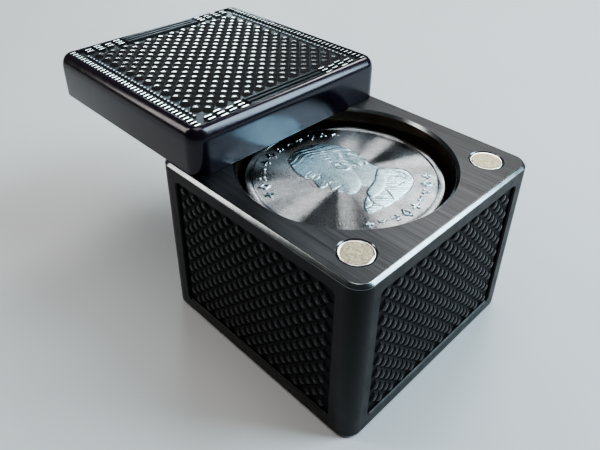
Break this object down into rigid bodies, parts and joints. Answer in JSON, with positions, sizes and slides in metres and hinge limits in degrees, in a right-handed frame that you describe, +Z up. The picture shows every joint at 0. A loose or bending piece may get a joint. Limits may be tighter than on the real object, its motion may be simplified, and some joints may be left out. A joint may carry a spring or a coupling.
{
  "type": "coin capsule",
  "caption": "Square machined metal coin capsule: a bored base holding a stack of silver coins, with a loose magnet-held lid slid open and knurled panels on its faces.",
  "frame": {"origin": "centre of the base's underside", "axes": "+Z up out of the bore, +Y to the back, the lid lies open towards -X"},
  "size_m": [0.0884, 0.0506, 0.0453],
  "materials": {
    "base_metal": "black anodised, satin, with a brushed top face",
    "lid_metal": "black anodised, semi-gloss",
    "magnet": "nickel plated, fine matt face",
    "coin": "bright struck silver",
    "pad": "matt black, fine grained"
  },
  "bodies": {
    "base": {"base_body": "base_metal", "bore_pad": "pad", "base_magnet_front_right": "magnet", "base_magnet_back_right": "magnet", "base_magnet_back_left": "magnet", "base_magnet_front_left": "magnet"},
    "coin_1": {"coin_1": "coin"},
    "coin_2": {"coin_2": "coin"},
    "coin_3": {"coin_3": "coin"},
    "coin_4": {"coin_4": "coin"},
    "coin_5": {"coin_5": "coin"},
    "coin_6": {"coin_6": "coin"},
    "coin_7": {"coin_7": "coin"},
    "coin_8": {"coin_8": "coin"},
    "coin_9": {"coin_9": "coin"},
    "lid_carrier": {"lid_pad": "pad"},
    "lid": {"lid_shell": "lid_metal", "lid_magnet_front_right": "magnet", "lid_magnet_back_right": "magnet", "lid_magnet_back_left": "magnet", "lid_magnet_front_left": "magnet"}
  },
  "joints": [
    {"name": "coin_1_lift", "type": "slide", "parent": "base", "child": "coin_1", "axis": [0, 0, 1], "range_m": [0, 0.0372]},
    {"name": "coin_2_lift", "type": "slide", "parent": "coin_1", "child": "coin_2", "axis": [0, 0, 1], "range_m": [0, 0.0339]},
    {"name": "coin_3_lift", "type": "slide", "parent": "coin_2", "child": "coin_3", "axis": [0, 0, 1], "range_m": [0, 0.0305]},
    {"name": "coin_4_lift", "type": "slide", "parent": "coin_3", "child": "coin_4", "axis": [0, 0, 1], "range_m": [0, 0.0272]},
    {"name": "coin_5_lift", "type": "slide", "parent": "coin_4", "child": "coin_5", "axis": [0, 0, 1], "range_m": [0, 0.0239]},
    {"name": "coin_6_lift", "type": "slide", "parent": "coin_5", "child": "coin_6", "axis": [0, 0, 1], "range_m": [0, 0.0206]},
    {"name": "coin_7_lift", "type": "slide", "parent": "coin_6", "child": "coin_7", "axis": [0, 0, 1], "range_m": [0, 0.0173]},
    {"name": "coin_8_lift", "type": "slide", "parent": "coin_7", "child": "coin_8", "axis": [0, 0, 1], "range_m": [0, 0.0139]},
    {"name": "coin_9_lift", "type": "slide", "parent": "coin_8", "child": "coin_9", "axis": [0, 0, 1], "range_m": [0, 0.0106]},
    {"name": "lid_slide", "type": "slide", "parent": "coin_9", "child": "lid_carrier", "axis": [0.9999, -0.0156, 0], "range_m": [-0.0165, 0.03841]},
    {"name": "lid_turn", "type": "hinge", "parent": "lid_carrier", "child": "lid", "pos_m": [-0.0384, 0.0006, 0.0361], "axis": [0, 0, 1], "continuous": true}
  ]
}
